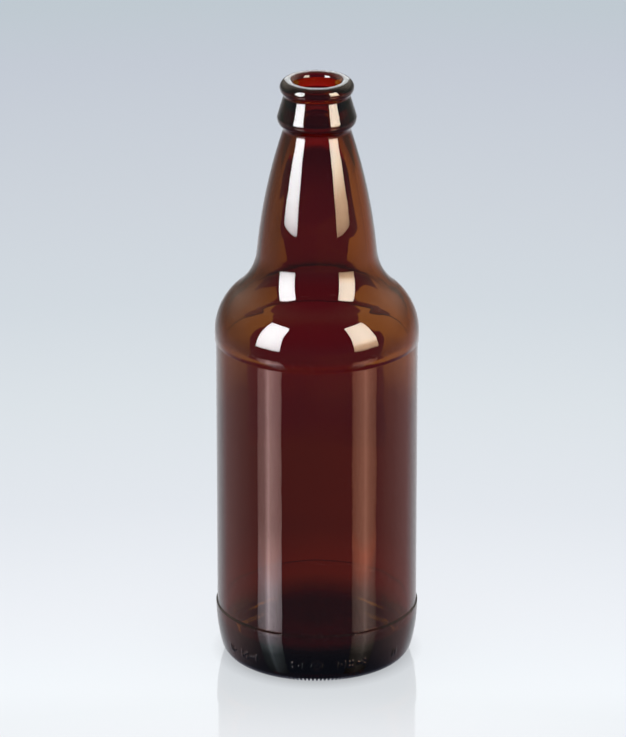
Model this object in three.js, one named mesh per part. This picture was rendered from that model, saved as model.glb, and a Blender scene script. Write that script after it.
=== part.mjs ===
// An empty half-litre beer bottle in brown glass, with a neck finish for a crimped metal cap.
// Millimetres, +Z up. The origin is on the bottle's axis, in the plane that it stands on.
// The glass is one piece: an outline is drawn up the outside, over the lip and down the inside, and turned.
import * as THREE from "three";

// Driving dimensions. A radius is from the bottle's axis, a round is a radius in the section.
const height = 219.8;
const contactRadius = 36.9; // shoulder and heel, where the bottle touches its neighbours
const panelRadius = 36.45; // the sunk band between them, for a label
const wall = 2.9; // glass behind the shoulder and the neck

const base = { pushUp: 4.2, domeRadius: 22, domeFall: 0.35, bearingInner: 27.6, bevel: 1.6, bevelUp: 0.9 };
const bottom = { edge: 10.4, middle: 9, round: 6 }; // the dished inner bottom, and its turn into the wall
const heel = { round: 5.1, bow: 61, turnDown: 14.8 }; // small round under a long slow curve
const ledge = { upper: 0.7, lower: 1.2, startsIn: 0.3, startsOver: 0.35 }; // steps in to the label panel
const shoulder = { edge: 122.1, band: 2.9, round: 20.6, hollow: 21.6, steepest: 50.6 };
const neck = { bow: 212, lean: 5.4, thinBelow: 184 }; // lean is its slope where the shoulder ends
const bead = { radius: 13.3, round: 2.8, undercut: -50 }; // the ring that the cap grips
const groove = { round: 1.0 };
const collar = { radius: 14.25, round: 3.4, drop: 14.1, fillet: 1.9 };
const bore = { radius: 8.0, mouth: 2.2, depth: 18.5, flare: 1.5 }; // flare shapes how the wall thins below it
const aroundBottle = 48; // flats in a full turn
const sag = 0.045; // the most that a flat of the section lies inside its arc

const glassColour = 0x5a2410;

const radians = THREE.MathUtils.degToRad;
const degrees = THREE.MathUtils.radToDeg;
const point = (r, z) => new THREE.Vector2(r, z);

// The point at an angle on a circle of the section. Angle 0 points away from the bottle's axis.
function onCircle(centre, round, angle) {
  return point(centre.x + round * Math.cos(radians(angle)), centre.y + round * Math.sin(radians(angle)));
}

function arc(centre, round, from, to) {
  const flat = degrees(2 * Math.acos(1 - sag / round));
  const steps = Math.ceil(Math.abs(to - from) / flat);
  const turn = (to - from) / steps;
  return Array.from({ length: steps + 1 }, (_, i) => onCircle(centre, round, from + turn * i));
}

// The centre, on the side away from the axis, of a fillet that lies between two circles of the section.
function filletCentre(a, distanceA, b, distanceB) {
  const apart = b.clone().sub(a);
  const gap = apart.length();
  const along = (distanceA ** 2 - distanceB ** 2 + gap ** 2) / (2 * gap);
  const aside = Math.sqrt(distanceA ** 2 - along ** 2);
  const unit = apart.divideScalar(gap);
  const outward = point(Math.abs(unit.y), -Math.sign(unit.y) * unit.x);
  return a.clone().addScaledVector(unit, along).addScaledVector(outward, aside);
}

const angleBetween = (from, to) => degrees(Math.atan2(to.y - from.y, to.x - from.x));

// An arc in place of a corner of the section, from the side of "before" to the side of "after".
function roundedCorner(before, corner, after, round) {
  const back = before.clone().sub(corner).normalize();
  const on = after.clone().sub(corner).normalize();
  const half = Math.acos(back.dot(on)) / 2;
  const inward = back.clone().add(on).normalize();
  const centre = corner.clone().addScaledVector(inward, round / Math.sin(half));
  const reach = round / Math.tan(half);
  const start = angleBetween(centre, corner.clone().addScaledVector(back, reach));
  const end = angleBetween(centre, corner.clone().addScaledVector(on, reach));
  const turn = THREE.MathUtils.euclideanModulo(end - start + 180, 360) - 180;
  return arc(centre, round, start, start + turn);
}

// Centres of the outside's arcs, each found from the one before it.
const heelTurn = radians(heel.turnDown);
const heelEdge = heel.bow * Math.sin(heelTurn) + heel.round * (1 - Math.sin(heelTurn));
const heelBowCentre = point(contactRadius - heel.bow, heelEdge);
const heelRoundCentre = point(
  contactRadius - heel.bow + (heel.bow - heel.round) * Math.cos(heelTurn),
  heel.round
);
const bearingRadius = heelRoundCentre.x;

const shoulderCentre = point(contactRadius - shoulder.round, shoulder.edge + shoulder.band);
const hollowCentre = onCircle(shoulderCentre, shoulder.round + shoulder.hollow, shoulder.steepest);
const neckFoot = onCircle(hollowCentre, shoulder.hollow, 180 + neck.lean);
const neckCentre = onCircle(neckFoot, neck.bow, 180 + neck.lean);
const neckRadiusAt = (z) => neckCentre.x + Math.sqrt(neck.bow ** 2 - (z - neckCentre.y) ** 2);

const beadCentre = point(bead.radius - bead.round, height - bead.round);
const grooveCentre = onCircle(beadCentre, bead.round + groove.round, bead.undercut);
const collarCentre = point(collar.radius - collar.round, height - collar.drop);
const filletPoint = filletCentre(
  neckCentre, neck.bow + collar.fillet,
  collarCentre, collar.round + collar.fillet
);
// The flank between groove and collar touches both of their circles, which lie on opposite sides of it.
const flankLean =
  angleBetween(collarCentre, grooveCentre) -
  degrees(Math.acos((groove.round + collar.round) / collarCentre.distanceTo(grooveCentre)));

// The underside: a shallow dome, then the flat ring that the bottle stands on.
function underside() {
  const steps = 5;
  const dome = Array.from({ length: steps + 1 }, (_, i) => {
    const r = (base.domeRadius * i) / steps;
    return point(r, base.pushUp * (1 - base.domeFall * (i / steps) ** 2));
  });
  const bevel = point(base.bearingInner - base.bevel, base.bevelUp);
  return [...dome, bevel, point(base.bearingInner, 0), point(bearingRadius, 0)];
}

function heelOutside() {
  const small = arc(heelRoundCentre, heel.round, -90, -heel.turnDown).slice(1);
  const long = arc(heelBowCentre, heel.bow, -heel.turnDown, 0).slice(1);
  return [...small, ...long];
}

// The step in from the heel, the straight panel, and the step out to the shoulder.
function labelPanel() {
  const stepRadius = contactRadius - ledge.startsIn * (contactRadius - panelRadius);
  return [
    point(stepRadius, heelEdge + ledge.startsOver * ledge.lower),
    point(panelRadius, heelEdge + ledge.lower),
    point(panelRadius, shoulder.edge - ledge.upper),
    point(stepRadius, shoulder.edge - ledge.startsOver * ledge.upper),
    point(contactRadius, shoulder.edge),
  ];
}

function shoulderOutside() {
  const round = arc(shoulderCentre, shoulder.round, 0, shoulder.steepest);
  const hollow = arc(hollowCentre, shoulder.hollow, 180 + shoulder.steepest, 180 + neck.lean).slice(1);
  return [...round, ...hollow];
}

function neckOutside() {
  const top = angleBetween(neckCentre, filletPoint);
  return arc(neckCentre, neck.bow, neck.lean, top).slice(1);
}

// Fillet, collar, flank, groove and bead: what the cap is crimped over and the collar under it.
function finishOutside() {
  const fromNeck = 180 + angleBetween(neckCentre, filletPoint);
  const toCollar = angleBetween(filletPoint, collarCentre);
  const underCollar = angleBetween(collarCentre, filletPoint);
  return [
    ...arc(filletPoint, collar.fillet, fromNeck, toCollar).slice(1),
    ...arc(collarCentre, collar.round, underCollar, flankLean).slice(1),
    ...arc(grooveCentre, groove.round, 180 + flankLean, 180 + bead.undercut),
    ...arc(beadCentre, bead.round, bead.undercut, 90).slice(1),
  ];
}

// Down through the mouth, the straight bore and the neck, where the wall thins below the finish.
function neckInside() {
  const mouthCentre = point(bore.radius + bore.mouth, height - bore.mouth);
  const boreEnd = height - bore.depth;
  const thick = neckRadiusAt(boreEnd) - bore.radius;
  const steps = 7;
  const widening = Array.from({ length: steps + 1 }, (_, i) => {
    const z = boreEnd + ((neckFoot.y - boreEnd) * i) / steps;
    const above = Math.max(0, (z - neck.thinBelow) / (boreEnd - neck.thinBelow));
    return point(neckRadiusAt(z) - wall - (thick - wall) * above ** bore.flare, z);
  });
  return [...arc(mouthCentre, bore.mouth, 90, 180), ...widening];
}

function shoulderInside() {
  const hollow = arc(hollowCentre, shoulder.hollow + wall, 180 + neck.lean, 180 + shoulder.steepest);
  const round = arc(shoulderCentre, shoulder.round - wall, shoulder.steepest, 0);
  return [...hollow.slice(1), ...round.slice(1)];
}

function bottomInside() {
  const wallTop = point(contactRadius - wall, shoulderCentre.y);
  const middle = point(0, bottom.middle);
  return [...roundedCorner(wallTop, point(wallTop.x, bottom.edge), middle, bottom.round), middle];
}

// LatheGeometry turns about Y, so the piece is stood up on +Z.
function glassBottle() {
  const outline = [
    ...underside(),
    ...heelOutside(),
    ...labelPanel(),
    ...shoulderOutside(),
    ...neckOutside(),
    ...finishOutside(),
    ...neckInside(),
    ...shoulderInside(),
    ...bottomInside(),
  ];
  const glass = new THREE.MeshStandardMaterial({
    name: "brown_glass",
    color: glassColour,
    roughness: 0.05,
    metalness: 0,
    transparent: true,
    opacity: 0.75,
  });
  const mesh = new THREE.Mesh(new THREE.LatheGeometry(outline, aroundBottle), glass);
  mesh.name = "bottle";
  mesh.rotation.x = Math.PI / 2;
  return mesh;
}

const bottle = new THREE.Group();
bottle.name = "beer_bottle";
bottle.add(glassBottle());

export default bottle;
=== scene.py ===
import math

import bpy
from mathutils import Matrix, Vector, noise


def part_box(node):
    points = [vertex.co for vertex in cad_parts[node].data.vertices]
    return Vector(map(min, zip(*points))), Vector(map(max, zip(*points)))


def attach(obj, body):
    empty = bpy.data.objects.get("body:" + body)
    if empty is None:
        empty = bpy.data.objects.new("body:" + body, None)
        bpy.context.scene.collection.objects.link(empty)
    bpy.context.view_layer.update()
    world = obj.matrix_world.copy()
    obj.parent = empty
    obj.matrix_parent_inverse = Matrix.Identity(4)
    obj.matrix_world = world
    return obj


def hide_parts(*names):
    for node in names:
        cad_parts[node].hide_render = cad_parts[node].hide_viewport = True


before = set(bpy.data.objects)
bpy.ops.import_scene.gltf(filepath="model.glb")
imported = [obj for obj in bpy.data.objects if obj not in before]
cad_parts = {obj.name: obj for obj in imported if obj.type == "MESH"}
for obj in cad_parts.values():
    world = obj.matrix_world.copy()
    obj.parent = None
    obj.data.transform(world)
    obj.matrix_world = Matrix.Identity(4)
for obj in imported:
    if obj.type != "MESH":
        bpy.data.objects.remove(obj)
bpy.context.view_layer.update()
mm = 0.001

_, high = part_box("bottle")
bottleHeight = high.z
contactRadius = high.x  # shoulder and heel, the widest parts


# The outline, as radius and height on one side of the axis. Angle 0 points away from the axis.

form = {
    "panelSunk": 0.45 * mm,  # how far the label panel lies inside the widest parts
    "upperLedge": 0.7 * mm,
    "lowerLedge": 1.2 * mm,
    # from the widest part in to the panel, as parts of a ledge's height and of its depth
    "ledgeShape": [
        (0.33, 0.0), (0.335, 0.008), (0.345, 0.035), (0.36, 0.08), (0.5, 0.5),
        (0.64, 0.92), (0.655, 0.965), (0.665, 0.992), (0.67, 1.0), (1.0, 1.0),
    ],
    "wall": 2.9 * mm,
    "pushUp": 4.2 * mm,  # the dome under the base
    "domeRadius": 22 * mm,
    "domeFall": 0.35,  # the part of its height that is lost at its edge
    "domeFoot": (2.4 * mm, 1.95 * mm),  # how far outside the dome, and how high
    "bevel": [(1.6 * mm, 0.9 * mm), (0.7 * mm, 0.25 * mm)],  # how far inside the bearing ring, and how high
    "bearingInner": 27.6 * mm,
    "heelRound": 5.1 * mm,
    "heelBow": 61 * mm,
    "heelTurn": 14.8,  # degrees
    "shoulderEdge": 122.1 * mm,
    "shoulderBand": 2.9 * mm,
    "shoulderRound": 20.6 * mm,
    "shoulderHollow": 21.6 * mm,
    "shoulderSteepest": 50.6,
    "neckBow": 212 * mm,
    "neckLean": 5.4,
    "neckThinBelow": 184 * mm,
    "beadRadius": 13.3 * mm,
    "beadRound": 2.8 * mm,
    "beadUndercut": -50,
    "grooveRound": 1.0 * mm,
    "collarRadius": 14.25 * mm,
    "collarRound": 3.4 * mm,
    "collarDrop": 14.1 * mm,
    "collarFillet": 1.9 * mm,
    "boreRadius": 8.0 * mm,
    "boreDepth": 18.5 * mm,
    "boreFlare": 1.5,  # how the wall thins below the bore
    "mouthRound": 2.2 * mm,
    "bottomRound": 6 * mm,  # between the inner wall and the dished inner bottom
    "bottomEdge": 10.4 * mm,
    "bottomMiddle": 9 * mm,
}


def onCircle(centre, radius, degrees):
    angle = math.radians(degrees)
    return (centre[0] + radius * math.cos(angle), centre[1] + radius * math.sin(angle))


def arc(centre, radius, start, end, steps):
    return [onCircle(centre, radius, start + (end - start) * i / steps) for i in range(steps + 1)]


def directionOf(a, b):
    return math.degrees(math.atan2(b[1] - a[1], b[0] - a[0]))


def between(a, b, parts):
    return [tuple(Vector(a).lerp(Vector(b), part)) for part in parts]


def smooth(start, end, x):
    t = min(1, max(0, (x - start) / (end - start)))
    return t * t * (3 - 2 * t)


def filletCentre(a, reachA, b, reachB):
    # where two circles round a and b cross, on the side away from the axis
    gap = math.dist(a, b)
    along = (reachA**2 - reachB**2 + gap**2) / (2 * gap)
    aside = math.sqrt(reachA**2 - along**2)
    ux, uz = (b[0] - a[0]) / gap, (b[1] - a[1]) / gap
    side = 1 if uz < 0 else -1
    return (a[0] + ux * along - side * uz * aside, a[1] + uz * along + side * ux * aside)


def roundedCorner(before, corner, after, radius, steps):
    # an arc in place of a corner, from the side of "before" to the side of "after"
    a = (Vector(before) - Vector(corner)).normalized()
    b = (Vector(after) - Vector(corner)).normalized()
    half = a.angle(b) / 2
    centre = Vector(corner) + (a + b).normalized() * radius / math.sin(half)
    start, end = (directionOf(centre, Vector(corner) + side * radius / math.tan(half)) for side in (a, b))
    turn = (end - start + 180) % 360 - 180
    return arc(centre, radius, start, start + turn, steps)


# Centres of the arcs, each found from the one before it.

heelTurn = math.radians(form["heelTurn"])
heelEdge = form["heelBow"] * math.sin(heelTurn) + form["heelRound"] * (1 - math.sin(heelTurn))
heelBowCentre = (contactRadius - form["heelBow"], heelEdge)
bearingOuter = heelBowCentre[0] + (form["heelBow"] - form["heelRound"]) * math.cos(heelTurn)
heelRoundCentre = (bearingOuter, form["heelRound"])

shoulderCentre = (contactRadius - form["shoulderRound"], form["shoulderEdge"] + form["shoulderBand"])
hollowReach = form["shoulderRound"] + form["shoulderHollow"]
hollowCentre = onCircle(shoulderCentre, hollowReach, form["shoulderSteepest"])
neckFoot = onCircle(hollowCentre, form["shoulderHollow"], 180 + form["neckLean"])
neckCentre = onCircle(neckFoot, form["neckBow"], 180 + form["neckLean"])

beadCentre = (form["beadRadius"] - form["beadRound"], bottleHeight - form["beadRound"])
grooveCentre = onCircle(beadCentre, form["beadRound"] + form["grooveRound"], form["beadUndercut"])
collarCentre = (form["collarRadius"] - form["collarRound"], bottleHeight - form["collarDrop"])
fillet = filletCentre(neckCentre, form["neckBow"] + form["collarFillet"],
                      collarCentre, form["collarRound"] + form["collarFillet"])
# the flank between groove and collar touches both of their circles, which lie on opposite sides of it
flankReach = (form["grooveRound"] + form["collarRound"]) / math.dist(collarCentre, grooveCentre)
flankLean = directionOf(collarCentre, grooveCentre) - math.degrees(math.acos(flankReach))
boreEnd = bottleHeight - form["boreDepth"]


def neckRadius(z):
    return neckCentre[0] + math.sqrt(form["neckBow"]**2 - (z - neckCentre[1])**2)


def underside():
    # a shallow dome, then the flat ring that the bottle stands on
    steps = 12
    dome = [(form["domeRadius"] * i / steps, form["pushUp"] * (1 - form["domeFall"] * (i / steps)**2))
            for i in range(steps + 1)]
    footOut, footUp = form["domeFoot"]
    bevel = [(form["bearingInner"] - inward, up) for inward, up in form["bevel"]]
    width = bearingOuter - form["bearingInner"]
    ring = [(form["bearingInner"] + width * i / 4, 0) for i in range(5)]
    return dome + [(form["domeRadius"] + footOut, footUp)] + bevel + ring


def heelOutside():
    small = arc(heelRoundCentre, form["heelRound"], -90, -form["heelTurn"], steps=22)[1:]
    return small + arc(heelBowCentre, form["heelBow"], -form["heelTurn"], 0, steps=40)[1:]


def ledge(edge, height):
    # from the widest part in to the panel; with a height below 0 it goes down
    return [(contactRadius - form["panelSunk"] * inward, edge + height * up)
            for up, inward in form["ledgeShape"]]


def labelPanel():
    # rows of points lie closer together near the ledges
    foot, top = heelEdge + form["lowerLedge"], form["shoulderEdge"] - form["upperLedge"]
    near, margin, steps = (0.4 * mm, 1.2 * mm, 3 * mm), 6 * mm, 14
    heights = [foot + up for up in near]
    heights += [foot + margin + (top - foot - 2 * margin) * i / steps for i in range(steps + 1)]
    heights += [top - down for down in reversed(near)]
    straight = [(contactRadius - form["panelSunk"], z) for z in heights]
    upper = ledge(form["shoulderEdge"], -form["upperLedge"])[::-1]
    return ledge(heelEdge, form["lowerLedge"]) + straight + upper


def shoulderOutside():
    steepest, lean = form["shoulderSteepest"], form["neckLean"]
    rounding = arc(shoulderCentre, form["shoulderRound"], 0, steepest, steps=34)
    return rounding + arc(hollowCentre, form["shoulderHollow"], 180 + steepest, 180 + lean, steps=28)[1:]


def neckOutside():
    return arc(neckCentre, form["neckBow"], form["neckLean"], directionOf(neckCentre, fillet), steps=26)[1:]


def finishOutside():
    # what a cap is crimped over, and the collar under it
    fromNeck, toCollar = 180 + directionOf(neckCentre, fillet), directionOf(fillet, collarCentre)
    underCollar = directionOf(collarCentre, fillet)
    foot = arc(fillet, form["collarFillet"], fromNeck, toCollar, steps=9)[1:]
    collar = arc(collarCentre, form["collarRound"], underCollar, flankLean, steps=22)[1:]
    groove = arc(grooveCentre, form["grooveRound"], 180 + flankLean, 180 + form["beadUndercut"], steps=9)
    flank = between(collar[-1], groove[0], (0.08, 0.3, 0.7, 0.92))
    bead = arc(beadCentre, form["beadRound"], form["beadUndercut"], 90, steps=30)[1:]
    return foot + collar + flank + groove + bead


def mouthInside():
    # over the lip and down the straight bore
    lipFoot = bottleHeight - form["mouthRound"]
    lip = arc((form["boreRadius"] + form["mouthRound"], lipFoot), form["mouthRound"], 90, 180, steps=12)
    return lip + [(form["boreRadius"], lipFoot - down) for down in (0.4 * mm, 2 * mm, 7 * mm, 12 * mm)]


def neckInside():
    # the wall thins from the bore down
    thick = neckRadius(boreEnd) - form["boreRadius"]
    steps = 30
    points = []
    for i in range(steps + 1):
        z = boreEnd + (neckFoot[1] - boreEnd) * i / steps
        above = max(0, (z - form["neckThinBelow"]) / (boreEnd - form["neckThinBelow"]))
        extra = (thick - form["wall"]) * above**form["boreFlare"]
        points.append((neckRadius(z) - form["wall"] - extra, z))
    return points


def shoulderInside():
    wall, steepest, lean = form["wall"], form["shoulderSteepest"], form["neckLean"]
    hollow = arc(hollowCentre, form["shoulderHollow"] + wall, 180 + lean, 180 + steepest, steps=20)[1:]
    return hollow + arc(shoulderCentre, form["shoulderRound"] - wall, steepest, 0, steps=20)[1:]


def bottomInside():
    # down the wall, round its foot and over the dished bottom
    radius = contactRadius - form["wall"]
    top, middle = (radius, shoulderCentre[1]), (0, form["bottomMiddle"])
    foot = roundedCorner(top, (radius, form["bottomEdge"]), middle, form["bottomRound"], steps=20)
    wall = between(top, foot[0], [i / 30 for i in range(1, 30)])
    return wall + foot + between(foot[-1], middle, [i / 10 for i in range(1, 11)])


def bottleOutline():
    # up the outside, then over the lip and down the inside, from the axis to the axis
    outside = underside() + heelOutside() + labelPanel() + shoulderOutside() + neckOutside() + finishOutside()
    inside = mouthInside() + neckInside() + shoulderInside() + bottomInside()
    return outside, inside


# Relief that is too fine for the plain outline: the knurled ring, the heel's marks and the mould seam.

relief = {
    "around": 180,  # faces in a full turn, four times as many where the relief is fine
    "fineBeyond": 26 * mm,  # radius
    "fineBelow": 2.6 * mm,
    "knurls": 144,
    "knurlDepth": 0.8 * mm,
    "knurlInner": (28 * mm, 28.5 * mm),  # radius where it starts and where it is whole
    "knurlTop": (0.9 * mm, 2.4 * mm),  # height where it starts to fade and where it is gone
    "knurlFlanks": (0.3, 0.7),  # the closer these two are, the steeper a notch's sides
    "seamHeight": 0.05 * mm,
    "seamWidth": 0.9,  # degrees
    "seamFrom": 2.7 * mm,
    "waveDepth": 0.16 * mm,  # blown glass is never quite even on the inside
    "waveHeight": 38 * mm,
    "waveAround": 1.6,
    "smallWavePart": 0.4,
    "smallWaveHeight": 60 * mm,
    "smallWaveAround": 4,
    "waveStart": (12 * mm, 30 * mm),  # height where the waves begin and where they are whole
    "waveEnd": (30 * mm, 14 * mm),  # how far below the mouth they start to fade and are gone
    "markHeight": 0.28 * mm,
    "markLow": 6.2 * mm,
    "markSize": 3.4 * mm,
    "markReach": 4 * mm,  # no mark is wider to either side of its middle
    "strokeGap": 1.3 * mm,
    "barHalf": (1.1 * mm, 0.45 * mm),  # its length and width
    "dotRadius": 0.5 * mm,
    "pairRadius": 0.55 * mm,
    "pairOff": 0.9 * mm,
    "ringRadius": 1.7 * mm,
    "ringEdge": (0.25 * mm, 0.5 * mm),
    "ringDot": 0.7 * mm,
    # degrees round the heel, where 0 faces the camera, and strokes side by side:
    # t is a bar, b a pair of dots and . one dot
    "marks": [
        (-58, "tt."), (-47, "b.b"), (-40, "..t"), (-14, "b"), (-9, ".t"), (0, "ring"), (14, "t.t"),
        (20, "bb"), (27, "..b"), (52, "tt"), (96, "b.t"), (131, "t.t"), (172, "ttt"), (184, "b.bb"),
        (233, "t.b"),
    ],
}
markMiddle = relief["markLow"] + relief["markSize"] / 2


def knurl(r, z, degrees):
    # how far the ring is notched up between two of its ridges
    ring = smooth(*relief["knurlInner"], r) * (1 - smooth(*relief["knurlTop"], z))
    around = 0.5 - 0.5 * math.cos(math.radians(degrees * relief["knurls"]))
    return relief["knurlDepth"] * ring * smooth(*relief["knurlFlanks"], around)


def dot(across, up, radius):
    return 1 - smooth(radius * 0.55, radius, math.hypot(across, up))


def bar(across, up, halfLength, halfWidth):
    beyond = max(0, abs(up) - halfLength)
    return 1 - smooth(halfWidth * 0.5, halfWidth, math.hypot(across, beyond))


def markShape(strokes, across, up):
    # how much of its full height a mark has at a place
    if strokes == "ring":
        off = abs(math.hypot(across, up) - relief["ringRadius"])
        return max(1 - smooth(*relief["ringEdge"], off), dot(across, up, relief["ringDot"]))
    best = 0
    for i, stroke in enumerate(strokes):
        x = across - (i - (len(strokes) - 1) / 2) * relief["strokeGap"]
        if stroke == "t":
            best = max(best, bar(x, up, *relief["barHalf"]))
        elif stroke == "b":
            upper = dot(x, up - relief["pairOff"], relief["pairRadius"])
            lower = dot(x, up + relief["pairOff"], relief["pairRadius"])
            best = max(best, upper, lower)
        else:
            best = max(best, dot(x, up, relief["dotRadius"]))
    return best


def mark(r, z, degrees):
    if abs(z - markMiddle) > relief["markSize"]:
        return 0
    best = 0
    for place, strokes in relief["marks"]:
        across = math.radians((degrees + 90 - place + 180) % 360 - 180) * r
        if abs(across) <= relief["markReach"]:
            best = max(best, markShape(strokes, across, z - markMiddle))
    return relief["markHeight"] * best


def seam(degrees):
    off = abs((degrees + 90) % 180 - 90)
    return relief["seamHeight"] * (1 - smooth(0, relief["seamWidth"], off))


def insideWave(z, degrees):
    x, y = onCircle((0, 0), 1, degrees)
    wide, small = relief["waveAround"], relief["smallWaveAround"]
    at = Vector((x * wide, y * wide, z / relief["waveHeight"]))
    smallAt = Vector((x * small, y * small, z / relief["smallWaveHeight"] + 7))  # 7 keeps the two apart
    whole, gone = (bottleHeight - down for down in relief["waveEnd"])
    fade = smooth(*relief["waveStart"], z) * (1 - smooth(whole, gone, z))
    return relief["waveDepth"] * fade * (noise.noise(at) + relief["smallWavePart"] * noise.noise(smallAt))


def needsFine(r, z):
    marked = abs(z - markMiddle) < relief["markSize"] * 0.8
    return r > relief["fineBeyond"] and (z < relief["fineBelow"] or marked)


def normalAt(points, i):
    # out of the glass, from the points before and after
    a, b = points[max(0, i - 1)], points[min(len(points) - 1, i + 1)]
    length = math.dist(a, b)
    return ((b[1] - a[1]) / length, -(b[0] - a[0]) / length)


def turnedRing(points, i, isOutside):
    # one point of the outline, turned round the axis with its relief
    r, z = points[i]
    if r < 0.01 * mm:
        return [(0, 0, z)]
    nr, nz = normalAt(points, i)
    count = relief["around"] * (4 if isOutside and needsFine(r, z) else 1)
    ring = []
    for k in range(count):
        degrees = 360 * k / count
        lift = knurl(r, z, degrees) if isOutside else 0
        if not isOutside:
            out = -insideWave(z, degrees)
        elif z > relief["seamFrom"]:
            out = mark(r, z, degrees) + seam(degrees)
        else:
            out = 0
        x, y = onCircle((0, 0), min(r + nr * out, contactRadius), degrees)
        ring.append((x, y, z + nz * out + lift))
    return ring


def bridge(a, b):
    # faces between two rings, which may have one point, as many points, or four times as many
    if len(a) == 1:
        return [(a[0], b[(k + 1) % len(b)], b[k]) for k in range(len(b))]
    if len(b) == 1:
        return [(a[k], a[(k + 1) % len(a)], b[0]) for k in range(len(a))]
    if len(a) == len(b):
        n = len(a)
        return [(a[k], a[(k + 1) % n], b[(k + 1) % n], b[k]) for k in range(n)]
    coarse, fine = (a, b) if len(a) < len(b) else (b, a)
    n, m = len(coarse), len(fine)
    faces = []
    for k in range(n):
        c0, c1 = coarse[k], coarse[(k + 1) % n]
        f = [fine[(4 * k + j) % m] for j in range(5)]
        faces += [(c0, f[1], f[0]), (c0, f[2], f[1]), (c0, c1, f[2]), (c1, f[3], f[2]), (c1, f[4], f[3])]
    return faces if coarse is a else [face[::-1] for face in faces]


def newPiece(name, verts, faces):
    mesh = bpy.data.meshes.new(name)
    mesh.from_pydata(verts, [], faces)
    piece = bpy.data.objects.new(name, mesh)
    bpy.context.scene.collection.objects.link(piece)
    return piece


def blownBottle(name):
    outside, inside = bottleOutline()
    points = outside + inside
    verts, faces, rings = [], [], []
    for i in range(len(points)):
        ring = turnedRing(points, i, i < len(outside))
        rings.append(range(len(verts), len(verts) + len(ring)))
        verts += ring
    for a, b in zip(rings, rings[1:]):
        faces += bridge(a, b)
    piece = newPiece(name, verts, faces)
    piece.data.validate()
    piece.data.shade_smooth()
    return piece


# Brown glass: clear, with the colour in its depth.

glass = {
    "index": 1.52,
    "absorbs": (0.7125, 0.475, 0.0),  # red is stopped least
    "density": 800,  # per metre
    "roughness": 0.015,
    "scuff": 0.16,
    "scuffBands": [(124.2 * mm, 2.6 * mm), (19.2 * mm, 1.8 * mm)],  # height and half width
    "scratchScale": 900,
    "scratches": (0.5, 0.68),  # the part of the noise where they begin and where they are whole
    "ripple": 0.05,
    "rippleHeight": 1 * mm,
    "rippleScale": 120,
    "rippleUpright": 0.45,  # its waves are drawn out upwards by this scale
}


def newNode(tree, kind, x, y, sockets=None, **settings):
    # each of its sockets gets a plain value or a link from another node's output
    node = tree.nodes.new(kind)
    node.location = (x, y)
    for name, value in settings.items():
        setattr(node, name, value)
    for key, value in (sockets or {}).items():
        if isinstance(value, bpy.types.NodeSocket):
            tree.links.new(value, node.inputs[key])
        else:
            node.inputs[key].default_value = value
    return node


def maths(tree, operation, x, y, a, b=0.0):
    return newNode(tree, "ShaderNodeMath", x, y, {0: a, 1: b}, operation=operation).outputs[0]


def vectorMaths(tree, operation, x, y, a, b):
    return newNode(tree, "ShaderNodeVectorMath", x, y, {0: a, 1: b}, operation=operation).outputs[0]


def rangeFrom(tree, x, y, value, start, end, **settings):
    sockets = {"Value": value, "From Min": start, "From Max": end}
    return newNode(tree, "ShaderNodeMapRange", x, y, sockets, **settings)


def noiseAt(tree, x, y, place, scale, detail):
    sockets = {"Vector": place, "Scale": scale, "Detail": detail}
    return newNode(tree, "ShaderNodeTexNoise", x, y, sockets).outputs["Fac"]


def handledGlassGroup():
    # contact scuffs at the widest rings, and the faint ripple of moulded glass
    group = bpy.data.node_groups.new("handledGlass", "ShaderNodeTree")
    for name in ("Base Roughness", "Scuff Amount"):
        socket = group.interface.new_socket(name, in_out="INPUT", socket_type="NodeSocketFloat")
        socket.min_value, socket.max_value = 0, 1
    for name in ("Roughness", "Ripple"):
        group.interface.new_socket(name, in_out="OUTPUT", socket_type="NodeSocketFloat")
    given = newNode(group, "NodeGroupInput", -1200, 0).outputs
    place = newNode(group, "ShaderNodeTexCoord", -1200, -300).outputs["Object"]
    height = newNode(group, "ShaderNodeSeparateXYZ", -1000, -420, {0: place}).outputs["Z"]

    bands = 0.0
    for i, (middle, halfWidth) in enumerate(glass["scuffBands"]):
        y = -420 - 200 * i
        off = maths(group, "ABSOLUTE", -650, y, maths(group, "SUBTRACT", -800, y, height, middle))
        near = rangeFrom(group, -500, y, off, halfWidth, halfWidth * 0.3).outputs["Result"]
        bands = maths(group, "MAXIMUM", -330, y, bands, near)
    scratches = noiseAt(group, -800, -900, place, glass["scratchScale"], 4)
    worn = rangeFrom(group, -600, -900, scratches, *glass["scratches"]).outputs["Result"]
    where = maths(group, "MULTIPLY", -150, -500, bands, worn)
    scuffs = maths(group, "MULTIPLY", 50, -400, where, given["Scuff Amount"])
    roughness = maths(group, "ADD", 250, -200, scuffs, given["Base Roughness"])

    stretch = (1, 1, glass["rippleUpright"])
    upright = newNode(group, "ShaderNodeMapping", -1000, 300, {"Vector": place, "Scale": stretch})
    ripple = noiseAt(group, -800, 300, upright.outputs["Vector"], glass["rippleScale"], 1.5)
    newNode(group, "NodeGroupOutput", 700, 0, {"Roughness": roughness, "Ripple": ripple})
    return group


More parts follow.
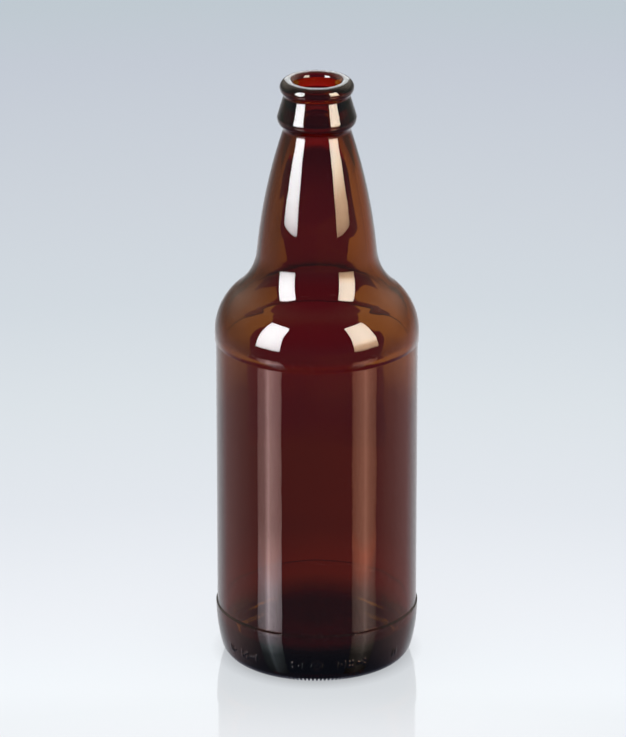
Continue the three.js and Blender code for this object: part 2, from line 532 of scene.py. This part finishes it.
def brownGlass():
    material = bpy.data.materials.new("brown_glass")
    material.use_nodes = True
    tree = material.node_tree
    surface = tree.nodes["Principled BSDF"]
    surface.inputs["Base Color"].default_value = (1, 1, 1, 1)
    surface.inputs["Transmission Weight"].default_value = 1
    surface.inputs["IOR"].default_value = glass["index"]
    depth = newNode(tree, "ShaderNodeVolumeAbsorption", 0, -400,
                    {"Color": (*glass["absorbs"], 1), "Density": glass["density"]})
    tree.links.new(depth.outputs[0], tree.nodes["Material Output"].inputs["Volume"])
    handled = newNode(tree, "ShaderNodeGroup", -500, 0,
                      {"Base Roughness": glass["roughness"], "Scuff Amount": glass["scuff"]},
                      node_tree=handledGlassGroup()).outputs
    tree.links.new(handled["Roughness"], surface.inputs["Roughness"])
    sockets = {"Strength": glass["ripple"], "Distance": glass["rippleHeight"], "Height": handled["Ripple"]}
    bump = newNode(tree, "ShaderNodeBump", -250, -200, sockets)
    tree.links.new(bump.outputs["Normal"], surface.inputs["Normal"])
    return material


bottle = blownBottle("glassBottle")
bottle.data.materials.append(brownGlass())
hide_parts("bottle")
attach(bottle, "root")
print("bottle: blown glass,", len(bottle.data.polygons), "faces")


# Camera: a long lens, a little above the bottle.

view = {
    "distance": 2150 * mm,  # to the point on the axis that it looks at
    "elevation": 20.9,
    "aimHeight": 109.8 * mm,
    "pixelFocal": 5938,  # focal length in pixels of the 737 pixel side
    "longSide": 737,
    "sensor": 36,
    "axisOffset": -1.4 * mm,  # the bottle stands a little right of the middle
}


def makeCamera():
    data = bpy.data.cameras.new("camera")
    data.sensor_width = view["sensor"]
    data.lens = view["pixelFocal"] * view["sensor"] / view["longSide"]
    data.clip_end = 30
    camera = bpy.data.objects.new("camera", data)
    bpy.context.scene.collection.objects.link(camera)
    up = math.radians(view["elevation"])
    towards = Vector((0, math.cos(up), -math.sin(up)))
    aim = Vector((view["axisOffset"], 0, view["aimHeight"]))
    camera.location = aim - towards * view["distance"]
    camera.rotation_mode = "QUATERNION"
    camera.rotation_quaternion = towards.to_track_quat("-Z", "Y")
    bpy.context.scene.camera = camera


makeCamera()


# Table: pale, with a painted pool of light that is white round the bottle and blue-grey further back, and
# with a weak reflection.

table = {
    "size": 24.0,
    "poolAt": -0.4,  # middle of the painted pool of light on it, in front of the bottle
    "colours": [  # the painted pool of light, by distance from there
        (0.326, (0.862, 0.882, 0.910)),
        (0.352, (0.813, 0.843, 0.869)),
        (0.388, (0.785, 0.818, 0.854)),
        (0.444, (0.742, 0.765, 0.808)),
        (0.544, (0.640, 0.671, 0.719)),
        (0.652, (0.581, 0.626, 0.665)),
        (0.770, (0.504, 0.554, 0.604)),
        (0.899, (0.465, 0.506, 0.564)),
        (1.102, (0.396, 0.436, 0.509)),
        (1.190, (0.363, 0.425, 0.478)),
        (2.000, (0.330, 0.390, 0.440)),
    ],
    "ownLight": 0.8,  # the share of its brightness that it glows with itself, painted light that no shadow takes away
    "mirror": 0.09,
    "mirrorFrom": -0.115,  # its reflection is whole behind "mirrorWhole" and gone in front of this
    "mirrorWhole": -0.04,
    "roughness": 0.06,
    # what is left of its brightness under the bottle, by distance from the axis
    "contactShade": [(0.0, 0.75), (0.032, 0.75), (0.0345, 0.86), (0.039, 1.0), (1.0, 1.0)],
}


def showOnlyTo(piece, *rays):
    for ray in ("camera", "diffuse", "glossy", "transmission", "volume_scatter", "shadow"):
        setattr(piece, "visible_" + ray, ray in rays)


def flatSheet(name, size, height):
    half = size / 2
    corners = [(x * half, y * half, height) for x, y in ((-1, -1), (1, -1), (1, 1), (-1, 1))]
    sheet = newPiece(name, corners, [(0, 1, 2, 3)])
    return sheet


def grey(stops):
    return [(place, (value, value, value)) for place, value in stops]


def colourRamp(tree, x, y, place, stops):
    node = newNode(tree, "ShaderNodeValToRGB", x, y, {0: place})
    elements = node.color_ramp.elements
    while len(elements) < len(stops):
        elements.new(0.5)
    for element, (position, colour) in zip(elements, stops):
        element.position = position
        element.color = (*colour, 1)
    return node.outputs["Color"]


def distanceRamp(tree, stops, middle=(0, 0, 0)):
    # colour by distance from a vertical line
    place = newNode(tree, "ShaderNodeTexCoord", -1300, 0).outputs["Object"]
    offset = vectorMaths(tree, "SUBTRACT", -1100, 0, place, middle)
    flat = vectorMaths(tree, "MULTIPLY", -900, 0, offset, (1, 1, 0))
    distance = newNode(tree, "ShaderNodeVectorMath", -700, 0, {0: flat}, operation="LENGTH").outputs["Value"]
    reach = stops[-1][0]
    part = maths(tree, "DIVIDE", -500, 0, distance, reach)
    return colourRamp(tree, -300, 0, part, [(place / reach, colour) for place, colour in stops])


def makeTable():
    sheet = flatSheet("table", table["size"], 0)
    material = bpy.data.materials.new("pale_table")
    material.use_nodes = True
    tree = material.node_tree
    surface = tree.nodes["Principled BSDF"]
    # its colour is a painted pool of light, times painted shade round the bottle's foot
    pool = distanceRamp(tree, table["colours"], (0, table["poolAt"], 0))
    contact = distanceRamp(tree, grey(table["contactShade"]))
    colour = vectorMaths(tree, "MULTIPLY", -200, 200, pool, contact)
    dimmed = newNode(tree, "ShaderNodeVectorMath", -100, 100, {0: colour, "Scale": 1 - table["ownLight"]},
                     operation="SCALE")
    tree.links.new(dimmed.outputs[0], surface.inputs["Base Color"])
    tree.links.new(colour, surface.inputs["Emission Color"])
    surface.inputs["Emission Strength"].default_value = table["ownLight"]
    surface.inputs["Roughness"].default_value = 1
    surface.inputs["Specular IOR Level"].default_value = 0

    # the reflection fades towards the front
    gloss = newNode(tree, "ShaderNodeBsdfGlossy", 0, -300, {"Roughness": table["roughness"]})
    place = newNode(tree, "ShaderNodeTexCoord", -800, -500).outputs["Object"]
    split = newNode(tree, "ShaderNodeSeparateXYZ", -600, -500, {0: place})
    fade = rangeFrom(tree, -400, -500, split.outputs["Y"], table["mirrorFrom"], table["mirrorWhole"])
    fade.inputs["To Max"].default_value = table["mirror"]
    both = newNode(tree, "ShaderNodeMixShader", 300, 0,
                   {0: fade.outputs["Result"], 1: surface.outputs[0], 2: gloss.outputs[0]})
    tree.links.new(both.outputs[0], tree.nodes["Material Output"].inputs["Surface"])
    sheet.data.materials.append(material)
    showOnlyTo(sheet, "camera", "diffuse", "shadow")


makeTable()


# What is seen through the glass, on glowing sheets that only rays through the glass see: the table with the
# bottle's own brown shade painted on it, and a card behind it with painted shade.

behind = {
    "darkColour": (0.008, 0.006, 0.007),
    "underBottle": 0.031,  # painted shade: dark as far as this from the axis, and in the painted brown shade from "shadeFrom"
    "shadeFrom": 0.035,
    "shadeColour": (0.168, 0.033, 0.05),
    "shadeTo": 0.27,
    "glowColour": (0.24, 0.043, 0.06),  # a painted lighter ring of light in the painted shade, round "glowAt"
    "glowAt": 0.078,
    "glowHalf": 0.04,
    "openColour": (0.66, 0.57, 0.80),
    "openBeyond": 0.335,
    "sideAt": 0.1,  # painted light, brighter to the right: how far to the side the brightness is "leftPart" or "rightPart"
    "leftPart": 0.7,
    "rightPart": 1.35,
    "cardAt": 0.2,
    "cardTop": 0.4,
    "cardEdge": [  # height and half width; it narrows where it is seen through the shoulder
        (0.0, 0.044), (0.046, 0.041), (0.050, 0.036), (0.056, 0.026), (0.060, 0.021), (0.069, 0.024),
        (0.080, 0.030), (0.086, 0.036), (0.090, 0.043), (0.096, 0.054), (0.4, 0.054),
    ],
    "cardColours": [  # painted shade by height, as a part of the whole; the last stop is painted light
        (0.0, (0.168, 0.033, 0.05)),
        (0.03, (0.14, 0.004, 0.08)),
        (0.05, (0.14, 0.0, 0.09)),
        (0.125, (0.25, 0.0, 0.11)),
        (0.23, (0.22, 0.0, 0.10)),
        (0.33, (0.12, 0.0, 0.09)),
        (0.362, (0.12, 0.0, 0.09)),
        (0.375, (0.62, 0.04, 0.16)),
    ],
}


def glowing(name):
    # a material that only shines, with its node tree and the sockets of its light
    material = bpy.data.materials.new(name)
    material.use_nodes = True
    tree = material.node_tree
    tree.nodes.remove(tree.nodes["Principled BSDF"])
    glow = newNode(tree, "ShaderNodeEmission", -200, 0)
    tree.links.new(glow.outputs[0], tree.nodes["Material Output"].inputs["Surface"])
    return material, tree, glow.inputs


def uvRamp(tree, axis, stops):
    # colour by the place across ("X") or up ("Y") a panel
    place = newNode(tree, "ShaderNodeTexCoord", -900, 0).outputs["UV"]
    split = newNode(tree, "ShaderNodeSeparateXYZ", -700, 0, {0: place})
    return colourRamp(tree, -500, 0, split.outputs[axis], stops)


def makeTableThroughGlass():
    # a glowing sheet with painted shade, a painted ring of light, and painted light that is brighter to the
    # right
    sheet = flatSheet("tableThroughGlass", table["size"], -0.2 * mm)
    material, tree, glow = glowing("table_through_glass")
    dark, shade, ring, clear = (behind[name + "Colour"] for name in ("dark", "shade", "glow", "open"))
    at, half = behind["glowAt"], behind["glowHalf"]
    stops = [(0, dark), (behind["underBottle"], dark), (behind["shadeFrom"], shade), (at - half, shade),
             (at, ring), (at + half, shade), (behind["shadeTo"], shade), (behind["openBeyond"], clear),
             (1.5, clear)]
    tree.links.new(distanceRamp(tree, stops), glow["Color"])
    place = newNode(tree, "ShaderNodeTexCoord", -800, -300).outputs["Object"]
    split = newNode(tree, "ShaderNodeSeparateXYZ", -600, -300, {0: place})
    across = rangeFrom(tree, -400, -300, split.outputs["X"], -behind["sideAt"], behind["sideAt"])
    across.inputs["To Min"].default_value = behind["leftPart"]
    across.inputs["To Max"].default_value = behind["rightPart"]
    tree.links.new(across.outputs["Result"], glow["Strength"])
    sheet.data.materials.append(material)
    showOnlyTo(sheet, "transmission")


def makePaintedShadeCard():
    # a glowing card, seen only through the glass, with the bottle's shade painted on it
    y, edge = behind["cardAt"], behind["cardEdge"]
    left, right = ([(side * halfWidth, y, z) for z, halfWidth in edge] for side in (-1, 1))
    n = len(edge)
    card = newPiece("paintedShadeCard", left + right, [(i, n + i, n + i + 1, i + 1) for i in range(n - 1)])
    mesh = card.data
    uv = mesh.uv_layers.new(name="panel")
    for loop in mesh.loops:
        x, _, z = mesh.vertices[loop.vertex_index].co
        uv.data[loop.index].uv = (0.5 + x, z / behind["cardTop"])
    material, tree, glow = glowing("painted_shade_card")
    tree.links.new(uvRamp(tree, "Y", behind["cardColours"]), glow["Color"])
    mesh.materials.append(material)
    showOnlyTo(card, "transmission")


makeTableThroughGlass()
makePaintedShadeCard()


# Lights: two soft boxes, their dim image in the table, a bright strip behind and above, and the room.

lights = {
    "boxDistance": 0.62,
    "boxFrom": 40,  # degrees round from the camera
    "boxTo": 70,
    "boxLow": 0.128,
    "boxHigh": 0.77,
    "boxAcross": [(0.0, 0.86), (0.3, 0.93), (0.5, 1.0), (0.7, 0.93), (1.0, 0.86)],
    "leftStrength": 24,
    "leftColour": (0.96, 0.97, 0.98),
    "leftUp": [
        (0.0, (0.4, 0.4, 0.4)), (0.04, (0.7, 0.7, 0.7)), (0.13, (0.87, 0.87, 0.87)), (0.3, (1.0, 1.0, 1.0)),
    ],
    "rightStrength": 20,
    "rightColour": (1.0, 0.86, 0.69),
    "rightUp": [
        (0.0, (0.24, 0.20, 0.16)), (0.04, (0.42, 0.34, 0.26)), (0.13, (0.60, 0.48, 0.38)),
        (0.22, (0.95, 0.88, 0.80)), (0.3, (1.0, 1.0, 1.0)),
    ],
    "imageLow": 0.075,  # how far below the table their images start
    "leftImage": (5.7, 3.8, 3.6),
    "leftImageAcross": [
        (0.0, 0.27), (0.3, 0.38), (0.42, 0.79), (0.47, 1.0), (0.54, 0.76), (0.72, 0.6), (1.0, 0.36),
    ],
    "leftImageDown": [
        (0.0, (1.0, 1.0, 1.0)), (0.142, (1.0, 1.0, 1.0)), (0.164, (1.4, 1.4, 1.4)),
        (0.186, (1.35, 1.7, 1.9)), (0.25, (0.6, 0.85, 1.0)), (0.38, (0.3, 0.5, 0.56)),
        (0.5, (0.12, 0.21, 0.24)), (1.0, (0.02, 0.03, 0.04)),
    ],
    "rightImage": (4.2, 2.1, 1.45),
    "rightImageAcross": [
        (0.0, 0.34), (0.3, 0.6), (0.42, 0.88), (0.47, 1.0), (0.54, 0.76), (0.72, 0.6), (1.0, 0.36),
    ],
    "rightImageDown": [
        (0.0, (1.0, 1.0, 1.0)), (0.15, (1.0, 1.0, 1.0)), (0.164, (1.3, 1.0, 0.95)),
        (0.186, (0.62, 0.85, 1.05)), (0.25, (0.42, 0.68, 0.9)), (0.38, (0.28, 0.46, 0.56)),
        (0.5, (0.11, 0.19, 0.24)), (1.0, (0.02, 0.03, 0.04)),
    ],
    "stripColour": (2.8, 2.88, 2.92),
    "stripHalfWidth": 0.5,
    "stripAt": 2.5,  # how far behind the bottle it stands, and how high it turns forward
    "stripLow": 0.40,
    "stripNear": 1.5,
    # the room, in rows by how far a direction points up, each from the front (-1) to the back (1)
    "room": [
        (-0.75, [(-0.5, (0.07, 0.08, 0.12)), (0, (0.09, 0.09, 0.13)), (0.3, (0.12, 0.12, 0.17)),
                 (0.55, (0.20, 0.20, 0.26)), (0.78, (0.30, 0.32, 0.40))]),
        (-0.38, [(-0.5, (0.16, 0.14, 0.18)), (0, (0.55, 0.37, 0.37)), (0.3, (0.68, 0.45, 0.44)),
                 (0.55, (0.66, 0.45, 0.46)), (0.78, (0.72, 0.72, 0.75))]),
        (0.0, [(-0.5, (0.14, 0.14, 0.19)), (0, (0.24, 0.26, 0.27)), (0.55, (0.24, 0.24, 0.21)),
               (0.78, (0.23, 0.22, 0.20))]),
        (0.45, [(-0.5, (0.10, 0.10, 0.14)), (0, (0.30, 0.27, 0.24)), (0.3, (0.55, 0.47, 0.40)),
                (0.55, (0.80, 0.68, 0.56)), (0.78, (0.80, 0.70, 0.60))]),
    ],
    "skyColour": (0.93, 0.96, 1.0),  # the light that the room gives
    "backdropColour": (0.50, 0.56, 0.63),  # what the camera sees past the table
}


def lightPanel(name, corners, material, *rays):
    # corners run from the lower left round to the upper left, as the panel's uv does
    panel = newPiece(name, corners, [(0, 1, 2, 3)])
    uv = panel.data.uv_layers.new(name="panel")
    for loop, place in zip(uv.data, ((0, 0), (1, 0), (1, 1), (0, 1))):
        loop.uv = place
    panel.data.materials.append(material)
    showOnlyTo(panel, *rays)


def roundPlace(degrees, distance, z):
    # degrees round from the camera's side, to the right
    angle = math.radians(degrees)
    return (math.sin(angle) * distance, -math.cos(angle) * distance, z)


def boxMaterial(name, colour, across, up):
    # it shines in a reflection, but not in a reflection of a reflection
    material, tree, glow = glowing(name)
    shape = vectorMaths(tree, "MULTIPLY", -350, 100, uvRamp(tree, "X", grey(across)), uvRamp(tree, "Y", up))
    tree.links.new(vectorMaths(tree, "MULTIPLY", -350, -100, shape, colour), glow["Color"])
    path = newNode(tree, "ShaderNodeLightPath", -900, -300)
    first = maths(tree, "LESS_THAN", -600, -300, path.outputs["Glossy Depth"], 1.5)
    tree.links.new(first, glow["Strength"])
    return material


def boxCorners(side, bottom, top):
    a, b = side * lights["boxTo"], side * lights["boxFrom"]
    corners = ((a, bottom), (b, bottom), (b, top), (a, top))
    return [roundPlace(degrees, lights["boxDistance"], z) for degrees, z in corners]


def makeSoftBoxes():
    for side, name in ((-1, "left"), (1, "right")):
        box = boxCorners(side, lights["boxLow"], lights["boxHigh"])
        image = boxCorners(side, -lights["imageLow"], -lights["boxHigh"])
        bright = tuple(part * lights[name + "Strength"] for part in lights[name + "Colour"])
        material = boxMaterial(name + "SoftBox", bright, lights["boxAcross"], lights[name + "Up"])
        lightPanel(name + "SoftBox", box, material, "glossy")
        across, down = lights[name + "ImageAcross"], lights[name + "ImageDown"]
        material = boxMaterial(name + "InTable", lights[name + "Image"], across, down)
        lightPanel(name + "SoftBoxInTable", image, material, "glossy")


def makeBackStrip():
    w, y, low, near = (lights["strip" + key] for key in ("HalfWidth", "At", "Low", "Near"))
    material, _, glow = glowing("back_strip")
    glow["Color"].default_value = (*lights["stripColour"], 1)
    upright = [(-w, y, low), (w, y, low), (w, y, y), (-w, y, y)]
    overhead = [(-w, y, y), (w, y, y), (w, near, y), (-w, near, y)]
    lightPanel("backStrip", upright, material, "glossy", "transmission")
    lightPanel("overheadStrip", overhead, material, "glossy", "transmission")


def roomColour(tree):
    # each row blends into the next one up
    direction = newNode(tree, "ShaderNodeTexCoord", -1100, -200).outputs["Generated"]
    split = newNode(tree, "ShaderNodeSeparateXYZ", -900, -200, {0: direction}).outputs
    across = rangeFrom(tree, -750, -200, split["Y"], -1, 1).outputs["Result"]
    room, below = None, None
    for i, (up, stops) in enumerate(lights["room"]):
        y = -200 - 250 * i
        row = colourRamp(tree, -550, y, across, [((place + 1) / 2, colour) for place, colour in stops])
        if room:
            rise = rangeFrom(tree, -750, y, split["Z"], below, up, interpolation_type="SMOOTHSTEP")
            sockets = {0: rise.outputs["Result"], 4: room, 5: row}
            row = newNode(tree, "ShaderNodeMix", -250, y, sockets, data_type="VECTOR").outputs[1]
        room, below = row, up
    return room


def makeRoom():
    world = bpy.data.worlds.new("studio")
    bpy.context.scene.world = world
    world.use_nodes = True
    tree = world.node_tree
    tree.nodes.remove(tree.nodes["Background"])
    colours = ((*lights["backdropColour"], 1), (*lights["skyColour"], 1), roomColour(tree))
    shown, soft, mirrored = (
        newNode(tree, "ShaderNodeBackground", -300, 500 - 200 * i, {"Color": colour}).outputs[0]
        for i, colour in enumerate(colours)
    )
    path = newNode(tree, "ShaderNodeLightPath", -900, 500).outputs
    first = newNode(tree, "ShaderNodeMixShader", -50, 200, {0: path["Is Camera Ray"], 1: mirrored, 2: shown})
    second = newNode(tree, "ShaderNodeMixShader", 150, 100,
                     {0: path["Is Diffuse Ray"], 1: first.outputs[0], 2: soft})
    tree.links.new(second.outputs[0], tree.nodes["World Output"].inputs["Surface"])


makeSoftBoxes()
makeBackStrip()
makeRoom()
bpy.context.scene.view_settings.view_transform = "Standard"
print("stage: table, cards, soft boxes and room")
